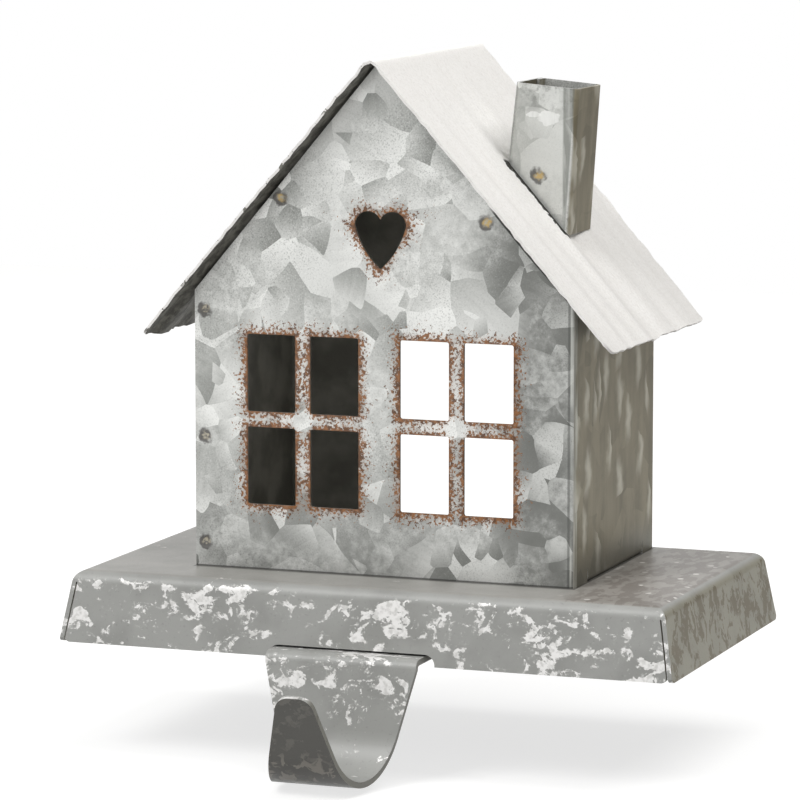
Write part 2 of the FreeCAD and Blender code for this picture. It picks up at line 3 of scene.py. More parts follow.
import bpy
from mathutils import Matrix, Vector


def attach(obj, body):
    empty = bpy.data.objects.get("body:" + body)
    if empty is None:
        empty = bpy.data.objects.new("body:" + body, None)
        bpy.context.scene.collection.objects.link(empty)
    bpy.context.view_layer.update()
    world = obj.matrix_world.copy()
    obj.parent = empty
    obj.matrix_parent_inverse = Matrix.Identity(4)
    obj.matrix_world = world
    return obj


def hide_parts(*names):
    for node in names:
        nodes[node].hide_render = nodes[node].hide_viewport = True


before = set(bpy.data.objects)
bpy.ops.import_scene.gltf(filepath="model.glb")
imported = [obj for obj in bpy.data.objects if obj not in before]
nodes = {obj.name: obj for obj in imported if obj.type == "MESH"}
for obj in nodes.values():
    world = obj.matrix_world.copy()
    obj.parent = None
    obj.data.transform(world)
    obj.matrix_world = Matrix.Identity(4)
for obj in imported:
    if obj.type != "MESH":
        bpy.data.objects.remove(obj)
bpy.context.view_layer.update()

mm = 0.001
slant = (0.61, 0.43, 0.92)      # turn of the fine noise, in radians


# Shader maths

class Wire:
    # a socket that can be used in sums
    def __init__(self, shading, socket):
        self.shading = shading
        self.socket = socket

    def maths(self, operation, *values):
        inputs = {i: value for i, value in enumerate(values)}
        return self.shading.make("ShaderNodeMath", {"operation": operation}, inputs)["Value"]

    def __add__(self, other):
        return self.maths("ADD", self, other)

    def __radd__(self, other):
        return self.maths("ADD", other, self)

    def __sub__(self, other):
        return self.maths("SUBTRACT", self, other)

    def __rsub__(self, other):
        return self.maths("SUBTRACT", other, self)

    def __mul__(self, other):
        return self.maths("MULTIPLY", self, other)

    def __rmul__(self, other):
        return self.maths("MULTIPLY", other, self)

    def __truediv__(self, other):
        return self.maths("DIVIDE", self, other)

    def __abs__(self):
        return self.maths("ABSOLUTE", self)

    def __pow__(self, other):
        return self.maths("POWER", self, other)

    def least(self, other):
        return self.maths("MINIMUM", self, other)

    def most(self, other):
        return self.maths("MAXIMUM", self, other)

    def ramp(self, low, high):
        # 0 at low, 1 at high and smooth between; low may be the larger one
        settings = {"interpolation_type": "SMOOTHSTEP"}
        inputs = {"Value": self, "From Min": low, "From Max": high}
        return self.shading.make("ShaderNodeMapRange", settings, inputs)["Result"]


class Made:
    # a node whose outputs are read by name, as wires
    def __init__(self, shading, node):
        self.shading = shading
        self.node = node

    def __getitem__(self, name):
        live = [s for s in self.node.outputs if s.enabled]
        return Wire(self.shading, next(s for s in live if s.name == name))


class Shading:
    # the nodes of one material or of the world
    def __init__(self, tree):
        self.tree = tree
        self.tree.nodes.clear()

    def make(self, kind, settings=None, inputs=None):
        node = self.tree.nodes.new(kind)
        for name, value in (settings or {}).items():
            setattr(node, name, value)
        for name, value in (inputs or {}).items():
            if isinstance(name, int):
                socket = node.inputs[name]
            else:
                socket = next(s for s in node.inputs if s.enabled and s.name == name)
            if isinstance(value, Wire):
                self.tree.links.new(value.socket, socket)
            else:
                socket.default_value = value
        return Made(self, node)

    def vector(self, operation, *values):
        inputs = {i: value for i, value in enumerate(values)}
        return self.make("ShaderNodeVectorMath", {"operation": operation}, inputs)["Vector"]

    def dot(self, a, b):
        return self.make("ShaderNodeVectorMath", {"operation": "DOT_PRODUCT"}, {0: a, 1: b})["Value"]

    def parts(self, vector):
        axes = self.make("ShaderNodeSeparateXYZ", inputs={"Vector": vector})
        return axes["X"], axes["Y"], axes["Z"]

    def mix(self, share, a, b):
        settings = {"data_type": "RGBA", "clamp_factor": True}
        inputs = {"Factor": share, "A": colour(a), "B": colour(b)}
        return self.make("ShaderNodeMix", settings, inputs)["Result"]

    def blend(self, share, a, b):
        return self.make("ShaderNodeMixShader", inputs={0: share, 1: a, 2: b})["Shader"]


class Finish(Shading):
    # one material, with its object coordinates in millimetres
    def __init__(self, name):
        self.material = bpy.data.materials.new(name)
        self.material.use_nodes = True
        super().__init__(self.material.node_tree)
        coords = self.make("ShaderNodeTexCoord")["Object"]
        self.place = self.vector("MULTIPLY", coords, (1 / mm, 1 / mm, 1 / mm))
        self.x, self.y, self.z = self.parts(self.place)
        # turned off the sheets' own directions, so that fine noise shows no rows
        inputs = {"Vector": self.place, "Rotation": slant}
        self.slanted = self.make("ShaderNodeMapping", inputs=inputs)["Vector"]

    def facing(self, direction):
        return self.dot(self.make("ShaderNodeNewGeometry")["Normal"], direction)

    def stretched(self, x, y, z):
        # the place with each axis divided, so that a pattern on it grows that many times longer there
        return self.vector("DIVIDE", self.place, (x, y, z))

    def grain(self, size, detail=2.0, roughness=0.5, distortion=0.0, place=None):
        # noise whose lumps are about size millimetres, from 0 to 1
        return self.noise(size, detail, roughness, distortion, place)["Fac"]

    def noise(self, size, detail=2.0, roughness=0.5, distortion=0.0, place=None):
        inputs = {
            "Vector": self.place if place is None else place,
            "Scale": 1 / size,
            "Detail": detail,
            "Roughness": roughness,
            "Distortion": distortion,
        }
        return self.make("ShaderNodeTexNoise", inputs=inputs)

    def cells(self, size, place=None):
        inputs = {"Vector": self.place if place is None else place, "Scale": 1 / size}
        return self.make("ShaderNodeTexVoronoi", inputs=inputs)

    def flatCells(self, size, across, up):
        # cells drawn on a flat sheet, not cut from a block
        place = self.make("ShaderNodeCombineXYZ", inputs={"X": across, "Y": up})["Vector"]
        settings = {"voronoi_dimensions": "2D"}
        return self.make("ShaderNodeTexVoronoi", settings, {"Vector": place, "Scale": 1 / size})

    def dots(self, size, density):
        # round specks up to size apart; density is the share of them that shows
        cell = self.cells(size)
        chance = self.parts(cell["Color"])[0]
        return (density - chance).ramp(0.0, 0.04) * cell["Distance"].ramp(0.62, 0.38)

    def bump(self, height, depth, under=None):
        # height from 0 to 1 stands for depth millimetres
        inputs = {"Height": height, "Distance": depth * mm, "Strength": 1.0}
        if under is not None:
            inputs["Normal"] = under
        return self.make("ShaderNodeBump", inputs=inputs)["Normal"]

    def done(self, **values):
        names = {
            "baseColor": "Base Color",
            "metallic": "Metallic",
            "roughness": "Roughness",
            "normal": "Normal",
            "specular": "Specular IOR Level",
        }
        inputs = {names[key]: value for key, value in values.items()}
        shader = self.make("ShaderNodeBsdfPrincipled", inputs=inputs)["BSDF"]
        self.make("ShaderNodeOutputMaterial", inputs={"Surface": shader})
        return self.material


def colour(value):
    return value if isinstance(value, Wire) else (*value, 1.0)


# Camera and stage

view = {
    "turn": 20.266,         # degrees to the object's right
    "height": 7.694,        # degrees above level
    "distance": 1.08989,    # metres
    "target": (-0.005762, 0.0, 0.05519),
    "clip": (0.05, 20.0),
    "lens": 207.515,        # millimetres, as the sensor
    "sensor": 36.0,
}


def addCamera():
    turn, height = math.radians(view["turn"]), math.radians(view["height"])
    level = math.cos(height)
    back = Vector((math.sin(turn) * level, -math.cos(turn) * level, math.sin(height)))
    data = bpy.data.cameras.new("photoCamera")
    data.lens = view["lens"]
    data.sensor_width = view["sensor"]
    data.clip_start, data.clip_end = view["clip"]
    camera = bpy.data.objects.new("photoCamera", data)
    bpy.context.scene.collection.objects.link(camera)
    camera.location = Vector(view["target"]) + back * view["distance"]
    camera.rotation_euler = (-back).to_track_quat("-Z", "Y").to_euler()
    bpy.context.scene.camera = camera


light = {
    "skyStrength": 0.60,
    "skyLight": (1.0, 1.0, 1.0),
    "skyDark": (0.22, 0.20, 0.17),      # what the right side looks out on
    "darkSide": (0.94, 0.34, -0.05),
    "darkShare": (0.15, 0.70),          # begins and ends so far towards that side
    "dimBehind": 0.5,                   # less sky at the back and left
    "behind": (-0.6, 0.8, 0.0),
    "behindShare": (0.1, 0.6),
    "aim": (0, 0, 0.05),
    "keyPower": 11.5,                   # watts
    "keySize": 0.7,
    "keyPlace": (-0.50, -0.92, 1.22),   # metres
    "topPower": 8.1,
    "topSize": 0.9,
    "topPlace": (0.50, 0.05, 1.15),
    "floorSize": 1.9,
    "floorLevel": -0.0262,
    "floorColor": (0.42, 0.42, 0.415),
    "floorGlow": 0.72,                  # only the camera and mirrors see it
}


def addLamp(name, place, power, size):
    data = bpy.data.lights.new(name, "AREA")
    data.energy = power
    data.size = size
    lamp = bpy.data.objects.new(name, data)
    bpy.context.scene.collection.objects.link(lamp)
    lamp.location = place
    aim = Vector(light["aim"]) - Vector(place)
    lamp.rotation_euler = aim.to_track_quat("-Z", "Y").to_euler()


def addWorld():
    world = bpy.data.worlds.new("studio")
    world.use_nodes = True
    bpy.context.scene.world = world
    sky = Shading(world.node_tree)
    direction = sky.make("ShaderNodeTexCoord")["Generated"]
    toRight = sky.dot(direction, light["darkSide"]).ramp(*light["darkShare"])
    tone = sky.mix(toRight, light["skyLight"], light["skyDark"])
    behind = sky.dot(direction, light["behind"]).ramp(*light["behindShare"])
    dimmed = sky.mix(behind * light["dimBehind"], tone, (0, 0, 0))
    soft = sky.make("ShaderNodeBackground", inputs={"Color": dimmed, "Strength": light["skyStrength"]})
    mirrored = sky.make("ShaderNodeBackground", inputs={"Color": tone, "Strength": 1.0})
    white = sky.make("ShaderNodeBackground", inputs={"Color": (1, 1, 1, 1), "Strength": 1.0})
    ray = sky.make("ShaderNodeLightPath")
    lit = sky.blend(ray["Is Glossy Ray"], soft["Background"], mirrored["Background"])
    plain = ray["Is Camera Ray"].most(ray["Is Transmission Ray"])
    out = sky.blend(plain, lit, white["Background"])
    sky.make("ShaderNodeOutputWorld", inputs={"Surface": out})


def addFloor():
    bpy.ops.object.select_all(action="DESELECT")
    bpy.ops.mesh.primitive_plane_add(size=light["floorSize"], location=(0, 0, light["floorLevel"]))
    floor = bpy.context.object
    floor.name = "floor"
    paper = Finish("paleFloor")
    shader = paper.make("ShaderNodeBsdfDiffuse", inputs={"Color": (*light["floorColor"], 1)})["BSDF"]
    inputs = {"Color": (1, 1, 1, 1), "Strength": light["floorGlow"]}
    glow = paper.make("ShaderNodeEmission", inputs=inputs)["Emission"]
    lit = paper.make("ShaderNodeAddShader", inputs={0: shader, 1: glow})["Shader"]
    ray = paper.make("ShaderNodeLightPath")
    out = paper.blend(ray["Is Camera Ray"].most(ray["Is Glossy Ray"]), shader, lit)
    paper.make("ShaderNodeOutputMaterial", inputs={"Surface": out})
    floor.data.materials.append(paper.material)


bpy.context.scene.view_settings.view_transform = "Standard"
addCamera()
addWorld()
addLamp("keyLamp", light["keyPlace"], light["keyPower"], light["keySize"])
addLamp("topLamp", light["topPlace"], light["topPower"], light["topSize"])
addFloor()
print("stage ready")


# Roof sheet: cut flat, rippled, bent over the ridge and left ragged at its rim

roofSheet = {
    "ridge": (-2.2, 137.1),     # across and up, the top of the fold
    "apex": (-2.2, 137.65),     # where the two slopes' upper faces would meet
    "lengths": (87.4, 86.3),    # from the ridge's middle, right and left
    "depth": (-30.1, 45.2),
    "turns": (48.7, 49.7),      # degrees, right and left
    "bends": (0.3, 0.9, 1.5),   # bend lines, from the ridge's middle
    "bendClear": 0.01,          # only what lies so far past a line is bent
    "corner": 1.2,              # rounding of the eave corners
    "frontCorner": 3.2,         # the right one at the front is worn rounder
    "cornerSteps": 8,
    "columns": 96,
    "rows": 54,
    "thickness": 0.6,
    "rippleWidth": 9.5,
    "rippleStretch": 14.0,      # how many times longer than wide a ripple is
    "rippleHeight": 2.2,
    "rippleStart": 5.0,         # ripples grow from here to the next value, down the slope
    "rippleFull": 48.0,
    "rag": 0.28,
    "ragSeed": 7,
    "merge": 0.01,
    "smoothBelow": 35,          # degrees between faces
}


def pickVertices(piece, test):
    # leaves edit mode on, with only the vertices selected whose place passes the test
    bpy.ops.object.mode_set(mode="EDIT")
    bpy.ops.mesh.select_mode(type="VERT")
    bpy.ops.mesh.select_all(action="DESELECT")
    bpy.ops.object.mode_set(mode="OBJECT")
    for vertex in piece.data.vertices:
        vertex.select = test(vertex.co / mm)
    bpy.ops.object.mode_set(mode="EDIT")


def cutSheet(point, normal, clear=False):
    bpy.ops.mesh.select_all(action="SELECT")
    bpy.ops.mesh.bisect(plane_co=Vector(point) * mm, plane_no=normal, clear_outer=clear)


def roundCorner(x, y, sideX, sideY, radius):
    # flat cuts round a corner, each one just touching the arc
    centreX, centreY = x - sideX * radius, y - sideY * radius
    steps = roofSheet["cornerSteps"]
    for step in range(1, steps):
        angle = math.radians(90 * step / steps)
        outward = Vector((sideX * math.cos(angle), sideY * math.sin(angle), 0))
        point = Vector((centreX, centreY, 0)) + outward * radius
        cutSheet(point, outward, clear=True)


def rippleSheet(sheet):
    group = sheet.vertex_groups.new(name="loose")
    span = roofSheet["rippleFull"] - roofSheet["rippleStart"]
    for vertex in sheet.data.vertices:
        run = abs(vertex.co.x) / mm * roofSheet["rippleStretch"]
        group.add([vertex.index], min(max((run - roofSheet["rippleStart"]) / span, 0), 1), "REPLACE")
    clouds = bpy.data.textures.new("ripples", "CLOUDS")
    clouds.noise_scale = roofSheet["rippleWidth"] * mm
    clouds.noise_depth = 1
    ripples = sheet.modifiers.new("ripples", "DISPLACE")
    ripples.texture = clouds
    ripples.texture_coords = "LOCAL"
    ripples.direction = "Z"
    ripples.vertex_group = "loose"
    ripples.strength = roofSheet["rippleHeight"] * mm
    bpy.ops.object.modifier_apply(modifier="ripples")


def foldSide(sheet, side, turn):
    # outermost bend line first, so that each pivot is still flat
    angle = math.radians(turn) / len(roofSheet["bends"])
    for line in sorted(roofSheet["bends"], reverse=True):
        pickVertices(sheet, lambda co: side * co.x > line + roofSheet["bendClear"])
        bpy.ops.transform.rotate(
            value=-side * angle,
            orient_axis="Y",
            orient_type="GLOBAL",
            center_override=(side * line * mm, 0, 0),
        )


def addRoof():
    bpy.ops.object.select_all(action="DESELECT")
    right, left = roofSheet["lengths"]
    front, back = roofSheet["depth"]
    corner, frontCorner = roofSheet["corner"], roofSheet["frontCorner"]
    bpy.ops.mesh.primitive_grid_add(
        x_subdivisions=roofSheet["columns"],
        y_subdivisions=roofSheet["rows"],
        size=1,
        location=(0, 0, 0),
    )
    sheet = bpy.context.object
    sheet.name = "roofSheet"
    bpy.ops.object.mode_set(mode="EDIT")
    bpy.ops.transform.resize(value=((right + left) * mm, (back - front) * mm, 1))
    bpy.ops.transform.translate(value=((right - left) / 2 * mm, (back + front) / 2 * mm, 0))
    for line in roofSheet["bends"]:
        for side in (1, -1):
            cutSheet((side * line, 0, 0), (1, 0, 0))
    for x, side, radius in ((right, 1, frontCorner), (-left, -1, corner)):
        roundCorner(x, front, side, -1, radius)
        roundCorner(x, back, side, 1, corner)
    bpy.ops.mesh.select_all(action="SELECT")
    bpy.ops.transform.resize(value=(1 / roofSheet["rippleStretch"], 1, 1), center_override=(0, 0, 0))
    bpy.ops.object.mode_set(mode="OBJECT")
    rippleSheet(sheet)
    bpy.ops.object.mode_set(mode="EDIT")
    bpy.ops.mesh.select_all(action="SELECT")
    bpy.ops.transform.resize(value=(roofSheet["rippleStretch"], 1, 1), center_override=(0, 0, 0))
    bpy.ops.mesh.select_all(action="DESELECT")
    bpy.ops.mesh.select_non_manifold()
    bpy.ops.transform.vertex_random(offset=roofSheet["rag"] * mm, seed=roofSheet["ragSeed"])
    foldSide(sheet, 1, roofSheet["turns"][0])
    foldSide(sheet, -1, roofSheet["turns"][1])
    bpy.ops.mesh.select_all(action="SELECT")
    ridgeX, ridgeZ = roofSheet["ridge"]
    bpy.ops.transform.translate(value=(ridgeX * mm, 0, ridgeZ * mm))
    bpy.ops.mesh.remove_doubles(threshold=roofSheet["merge"] * mm)
    bpy.ops.mesh.normals_make_consistent(inside=False)
    bpy.ops.object.mode_set(mode="OBJECT")
    if sum(face.normal.z for face in sheet.data.polygons) < 0:
        sheet.data.flip_normals()
    wall = sheet.modifiers.new("sheet", "SOLIDIFY")
    wall.thickness = roofSheet["thickness"] * mm
    wall.offset = -1.0
    bpy.ops.object.modifier_apply(modifier="sheet")
    bpy.ops.object.shade_smooth_by_angle(angle=math.radians(roofSheet["smoothBelow"]))
    return sheet


roof = addRoof()
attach(roof, "root")
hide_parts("roof")
print("roof sheet ready")


# Galvanised sheet

spangle = {
    "size": 13.0,                   # millimetres across a large crystal
    "smallSize": 6.5,
    "smallShare": (0.64, 0.68),     # a small crystal shows where its chance is above this
    "bend": (18.0, 8.0),            # crystal outlines are bent by lumps of this size, this far
    "streak": (0.8, 8.0),           # width and length of the streaks on a crystal
    "cloud": 24.0,                  # lighter and darker clouds
    "haze": 15.0,                   # patches where the crystals blur
    "mottle": 2.2,
    "pepper": 0.36,                 # fine dark and pale specks
    "rough": 21.0,                  # patches with more pepper, and where their pattern starts
    "roughStart": (57.0, 13.0, 31.0),
    "dark": (0.29, 0.297, 0.28),
    "light": (0.83, 0.835, 0.81),
    "speck": (0.15, 0.155, 0.145),
    "pale": (0.92, 0.925, 0.905),
    "inside": (0.52, 0.51, 0.455),
    "insideDark": (0.32, 0.312, 0.275),
    "roughness": 0.50,
    "metallic": 0.70,
    "dimple": (0.8, 0.03),          # size and depth
}
rightShade = {                     # what faces right is painted darker and browner: painted shade from the dark side it looks out on
    "tone": (0.262, 0.236, 0.168),
    "dark": (0.172, 0.154, 0.106),
    "foot": (0.20, 0.208, 0.195),
    "streak": (4.0, 6.0),       # size, and times longer than wide
    # painted highlights, where slender crystals catch the light
    "glint": (0.60, 0.58, 0.50),
    "glintSize": (8.0, 1.5),    # size, and times longer than wide
    "glintShare": 0.48,
    "glintBend": (6.0, 7.0),    # bent by lumps of this size, this far
}
house = {
    "centre": -1.2,
    "front": -23.9,
    "back": 37.3,
    "foot": 17.0,
    "width": 93.8,
    "windowMiddle": -2.1,
    "windowSpacing": 37.95,
    "paneCentre": 7.85,             # from a window's middle to a pane's middle
    "paneHalfWidth": 6.0,
    "paneHalfHeight": 9.125,
    "paneRows": (41.525, 63.375),
    "crossing": 2.5,                # so much farther from rust, where the bars cross
    "heartX": -1.8,
    "heartTip": 88.7,
    "lobe": (3.2, 10.1, 3.25),      # a lobe's middle, aside and above the tip, and its radius
    "flank": (0.84, 0.54, 0.1),     # slope of the heart's flank, aside and up, and its offset
    "heartTop": 9.5,                # the flanks end so far above the tip
    "lapWelds": [(-45.5, 22.85), (-45.5, 48.1), (-45.5, 77.8)],
    "clipWelds": [(-26.3, 104.5), (24.2, 100.5)],
    # painted shade on the front, darker towards its foot and its right side
    "dull": (0.155, 0.158, 0.147),
    "dullLow": (34.0, 4.0),         # above the foot, from and to
    "dullRight": (14.0, 36.0),
    "fold": 44.3,                   # where the front turns into the right corner and its painted highlight
    "foldTone": (0.56, 0.57, 0.53),
    "foldLine": (0.09, 0.092, 0.085),
    "gap": (25.5, 32.0, 44.0),      # painted shadow in the gap under the roof: start, widest until, end
    "gapDepth": 1.70,               # below the roof's upper face
    "gapTone": (0.035, 0.035, 0.032),
    # a dark seam line along the foot, partly painted contact shade
    "footLine": (0.06, 0.06, 0.055),
}
rust = {
    "reach": 4.8,           # over which the specks thin out from a cut edge
    "atEdge": 0.35,         # noise above this is rust at the edge
    "atReach": 0.67,        # and above this at the reach
    "last": (7.0, 5.2),     # no speck lies farther out
    "grain": 0.66,
    "patch": 5.0,
    "rim": 0.3,
    "halo": 2.4,
    "light": (0.300, 0.120, 0.034),
    "dark": (0.105, 0.040, 0.013),
}
weld = {
    "radius": 1.65,
    "rag": (1.7, 1.8),  # size of the ragged edge's lumps, and how far they reach
    "core": (0.43, 0.39, 0.30),
    "gold": (0.52, 0.36, 0.12),
    "burn": (0.105, 0.10, 0.095),
}


def crystalLayer(f, place, size):
    # each crystal shades one way from dark to light, with fine streaks along it
    cell = f.cells(size, place)
    tone, pick = f.parts(cell["Color"])[:2]
    offset = f.vector("SUBTRACT", place, cell["Position"])
    along = f.vector("NORMALIZE", f.vector("SUBTRACT", cell["Color"], (0.5, 0.5, 0.5)))
    across = f.vector("CROSS_PRODUCT", along, (0, 1, 0))
    run = f.dot(offset, along)
    width, length = spangle["streak"]
    apart = tone * 40.0     # gives each crystal streaks of its own
    inputs = {"X": f.dot(offset, across) / width, "Y": run / length, "Z": apart}
    streak = f.make("ShaderNodeCombineXYZ", inputs=inputs)["Vector"]
    feather = f.grain(1.0, detail=2.0, place=streak) - 0.5
    return tone * 0.46 + run / size * 0.60 + feather * 0.24, pick


def crystals(f):
    # brightness of the zinc crystals, about 0 to 1
    lumps, far = spangle["bend"]
    drift = f.vector("SUBTRACT", f.noise(lumps, detail=1.0)["Color"], (0.5, 0.5, 0.5))
    bent = f.vector("ADD", f.place, f.vector("MULTIPLY", drift, (far, far, far)))
    large = crystalLayer(f, bent, spangle["size"])[0]
    small, pick = crystalLayer(f, bent, spangle["smallSize"])
    chosen = pick.ramp(*spangle["smallShare"])
    cloud = f.grain(spangle["cloud"], detail=1.0) - 0.5
    sharp = large * (1 - chosen) + small * chosen + cloud * 0.40 + 0.30
    # in places the crystals fade into a mottled haze
    haze = f.grain(spangle["haze"], detail=3.0, place=f.slanted).ramp(0.44, 0.60) * 0.64
    mottled = f.grain(spangle["mottle"], detail=5.0, roughness=0.7) * 1.5 - 0.18
    return sharp * (1 - haze) + mottled * haze


def dimples(f):
    size, depth = spangle["dimple"]
    return f.bump(f.grain(size, detail=3.0), depth)


# painted shade for what faces right: darker, browner streaked colour, greyer towards the foot
def paintedRightShade(f, tone):
    size, stretch = rightShade["streak"]
    streaks = f.grain(size, detail=5.0, place=f.stretched(1.0, 1.0, stretch))
    brown = f.mix((streaks * 0.65 + tone * 0.35).ramp(0.28, 0.72), rightShade["dark"], rightShade["tone"])
    # painted highlights: slender crystals that catch the light, each with one sharp side
    lumps, far = rightShade["glintBend"]
    size, stretch = rightShade["glintSize"]
    across = f.y + f.grain(lumps, detail=2.0) * far
    flecks = f.flatCells(size, across, f.z / stretch)
    chosen = (rightShade["glintShare"] - f.parts(flecks["Color"])[0]).ramp(0.0, 0.02)
    aside = across - f.parts(flecks["Position"])[0]
    glint = chosen * aside.ramp(-1.0, 2.6) * flecks["Distance"].ramp(0.66, 0.20)
    brown = f.mix(glint * 0.8, brown, rightShade["glint"])
    low = f.z.ramp(house["foot"] + 10, house["foot"] + 1)
    return f.mix(low * 0.55, brown, rightShade["foot"])


def zincBase(f, stain=0.0):
    # colour and crystal brightness; stain forces in the painted shade of the right side
    tone = crystals(f)
    base = f.mix(tone.ramp(-0.14, 1.12), spangle["dark"], spangle["light"])
    pepper = f.grain(spangle["pepper"], detail=3.0, roughness=0.6, place=f.slanted)
    start = f.vector("ADD", f.place, spangle["roughStart"])
    rough = f.grain(spangle["rough"], detail=1.0, place=start).ramp(0.42, 0.60)
    base = f.mix(pepper.ramp(0.50, 0.70) * (rough * 0.32 + 0.18), base, spangle["speck"])
    base = f.mix(pepper.ramp(0.46, 0.28) * (rough * 0.18 + 0.16), base, spangle["pale"])
    # painted shade: what faces right takes the darker, browner colour
    turned = f.facing((1, 0, 0)).ramp(0.55, 0.9).most(stain)
    return f.mix(turned, base, paintedRightShade(f, tone)), tone * (1 - turned)


def overSlope(f):
    # height above the upper face of the roof's right slope, square to it
    slope = math.radians(roofSheet["turns"][0])
    ridgeX, ridgeZ = roofSheet["apex"]
    return (f.x - ridgeX) * math.sin(slope) + (f.z - ridgeZ) * math.cos(slope)


def fromEdges(f):
    # distance to the nearest pane, more at the middle of the bars, and to the heart
    acrossWindow = abs(abs(f.x - house["windowMiddle"]) - house["windowSpacing"] / 2)
    acrossPane = abs(acrossWindow - house["paneCentre"]) - house["paneHalfWidth"]
    rowMiddle = sum(house["paneRows"]) / 2
    rowGap = (house["paneRows"][1] - house["paneRows"][0]) / 2
    upPane = abs(abs(f.z - rowMiddle) - rowGap) - house["paneHalfHeight"]
    outX, outZ = acrossPane.most(0.0), upPane.most(0.0)
    fromPane = (outX * outX + outZ * outZ) ** 0.5
    crossing = acrossWindow.ramp(3.0, 1.2) * abs(f.z - rowMiddle).ramp(3.0, 1.0)
    side = abs(f.x - house["heartX"])
    up = f.z - house["heartTip"]
    lobeSide, lobeUp, lobeRadius = house["lobe"]
    lobeX, lobeZ = side - lobeSide, up - lobeUp
    fromLobe = (lobeX * lobeX + lobeZ * lobeZ) ** 0.5 - lobeRadius
    slopeSide, slopeUp, inset = house["flank"]
    flank = side * slopeSide - up * slopeUp - inset
    fromFlank = flank.most(up - house["heartTop"]).most(-1.0 - up)
    return fromPane + crossing * house["crossing"], fromLobe.least(fromFlank).most(0.0)


def rustMask(f):
    fromPane, fromHeart = fromEdges(f)
    near = fromPane.least(fromHeart * 0.95)
    patchy = f.grain(rust["patch"], detail=2.0) - 0.5
    bar = (near / rust["reach"]) ** 0.55 * (rust["atReach"] - rust["atEdge"]) + rust["atEdge"]
    grain = f.grain(rust["grain"], detail=4.0, roughness=0.66, place=f.slanted)
    specks = (grain - bar + patchy * 0.22).ramp(0.0, 0.03) * near.ramp(*rust["last"])
    rim = fromPane.least(fromHeart).ramp(rust["rim"] * 1.6, rust["rim"] * 0.4)
    stain = near.ramp(rust["halo"], 0.2) * 0.24
    return specks.most(rim * (patchy + 0.5).ramp(0.38, 0.54) * 0.75), stain


def weldMark(f, base, x, z, core):
    # a spot weld: a ragged burnt ring, fullest at the lower left, round a mottled core
    radius = weld["radius"]
    lumps, far = weld["rag"]
    dx, dz = f.x - x, f.z - z
    rag = f.grain(lumps, detail=2.0, place=f.slanted) * far
    reach = (dx * dx + dz * dz) ** 0.5 + rag - far / 2
    ring = reach.ramp(radius * 1.35, radius * 1.0) * reach.ramp(radius * 0.35, radius * 0.75)
    lowLeft = dx * -0.55 - dz * 0.45
    broken = (lowLeft + f.grain(1.4, detail=3.0, place=f.slanted) * 4.0 - 2.0).ramp(-1.5, 0.3)
    mottled = f.mix(f.grain(0.8, detail=2.0).ramp(0.40, 0.60), core, weld["core"])
    base = f.mix(reach.ramp(radius * 0.95, radius * 0.55) * 0.9, base, mottled)
    return f.mix(ring * broken * 0.9, base, weld["burn"])


def shadedFront(f, base, tone, onFront):
    # painted shade: the front darkens towards its foot and its right side, most on its darker crystals
    high, low = house["dullLow"]
    patches = tone.ramp(0.85, 0.30) * 0.55 + 0.45
    dull = f.z.ramp(house["foot"] + high, house["foot"] + low) * 0.54
    dull = dull.most(f.x.ramp(*house["dullRight"]) * 0.88)
    return f.mix(dull * patches * onFront, base, house["dull"])


def foldAndGaps(f, base, depth, onFront):
    # painted highlight on the fold at the right corner, with a dark line beside it
    fold = house["fold"]
    nearFront = depth.ramp(1.6, 1.2)
    streaks = f.grain(1.5, detail=2.0, place=f.stretched(1.0, 1.0, 12.0)).ramp(0.30, 0.60)
    base = f.mix(f.x.ramp(fold, fold + 0.2) * nearFront * streaks * 0.7, base, house["foldTone"])
    base = f.mix(abs(f.x - fold + 0.2).ramp(0.45, 0.15) * onFront * 0.6, base, house["foldLine"])
    # painted shadow in the gap that shows under the roof's front edge, and the dark seam line along
    # the foot, partly painted contact shade
    start, widest, end = house["gap"]
    reach = f.x.ramp(end, widest) * 0.50 + 0.12
    under = (overSlope(f) + house["gapDepth"] + reach).ramp(0.0, 0.15)
    gap = under * f.x.ramp(start - 1.5, start + 1.0) * f.x.ramp(end + 0.5, end - 0.5)
    base = f.mix(gap * 0.92, base, house["gapTone"])
    foot = f.z.ramp(house["foot"] + 0.42, house["foot"] + 0.22)
    return f.mix(foot * onFront * 0.75, base, house["footLine"])


def galvanisedWalls(name):
    f = Finish(name)
    base, tone = zincBase(f)
    depth = f.y - house["front"]
    onFront = depth.ramp(0.45, 0.30)
    # the walls' inner faces
    aside = abs(f.x - house["centre"])
    inward = aside.ramp(house["width"] / 2 - 0.25, house["width"] / 2 - 0.35)
    inside = inward * depth.ramp(0.35, 0.45) * (house["back"] - f.y).ramp(0.25, 0.35)
    base = shadedFront(f, base, tone, onFront)
    base = foldAndGaps(f, base, depth, onFront)
    for x, z in house["lapWelds"]:
        base = weldMark(f, base, x, z, weld["burn"])
    for x, z in house["clipWelds"]:
        base = weldMark(f, base, x, z, weld["gold"])
    specks, stain = rustMask(f)
    rusty = specks * onFront
    brown = f.mix(f.grain(1.1, detail=3.0).ramp(0.36, 0.62), rust["dark"], rust["light"])
    base = f.mix(stain * onFront, base, rust["light"])
    base = f.mix(rusty * 0.92, base, brown)
    murky = f.mix(f.grain(9.0, detail=3.0).ramp(0.35, 0.68), spangle["insideDark"], spangle["inside"])
    return f.done(
        baseColor=f.mix(inside, base, murky),
        metallic=(1 - rusty) * (1 - inside) * spangle["metallic"],
        roughness=tone * -0.14 + spangle["roughness"] + rusty * 0.30 + inside * 0.2,
        normal=dimples(f),
        specular=0.5,
    )


